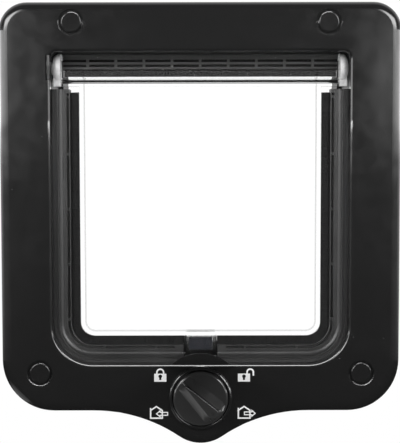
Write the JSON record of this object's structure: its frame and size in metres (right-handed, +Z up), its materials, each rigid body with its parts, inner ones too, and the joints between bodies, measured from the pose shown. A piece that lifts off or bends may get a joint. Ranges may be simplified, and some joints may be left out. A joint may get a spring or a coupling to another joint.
{
  "type": "cat flap",
  "caption": "Black framed cat flap for a door, with a clear top-hung flap, pile draught seal, rotary lock knob and a telescoping tunnel to an outdoor frame.",
  "frame": {"origin": "centre of the passage, on the plane of the door's room-side face", "axes": "+Z up, +Y outdoors through the door, +X to the right seen from the room"},
  "size_m": [0.2034, 0.0701, 0.2253],
  "materials": {
    "black_gloss": "polished black moulding",
    "black_satin": "satin black moulding",
    "clear_plastic": "polished clear moulding",
    "black_pile": "dense black pile",
    "bright_steel": "zinc plated",
    "magnet_nickel": "nickel plated"
  },
  "bodies": {
    "frame": {"front_frame": "black_gloss", "rear_frame": "black_gloss", "fixing_screws": "bright_steel", "screw_caps": "black_gloss", "hinge_keeper": "black_satin", "seal_holder_left": "black_satin", "seal_holder_right": "black_satin", "seal_holder_top": "black_satin", "brush_left": "black_pile", "brush_right": "black_pile", "brush_top": "black_pile", "sill_magnet": "magnet_nickel", "detent_spring": "bright_steel"},
    "flap": {"flap_panel": "clear_plastic", "flap_magnet": "magnet_nickel"},
    "lock": {"lock_knob": "black_gloss", "front_cam": "black_satin", "rear_cam": "black_satin", "knob_washer": "bright_steel", "knob_screw": "bright_steel"}
  },
  "joints": [
    {"name": "flap_swing", "type": "hinge", "parent": "frame", "child": "flap", "pos_m": [0, -0.0108, 0.0714], "axis": [1, 0, 0], "range_deg": [0, 80]},
    {"name": "lock_turn", "type": "hinge", "parent": "frame", "child": "lock", "pos_m": [0, -0.022, -0.0964], "axis": [0, -1, 0], "continuous": true}
  ]
}
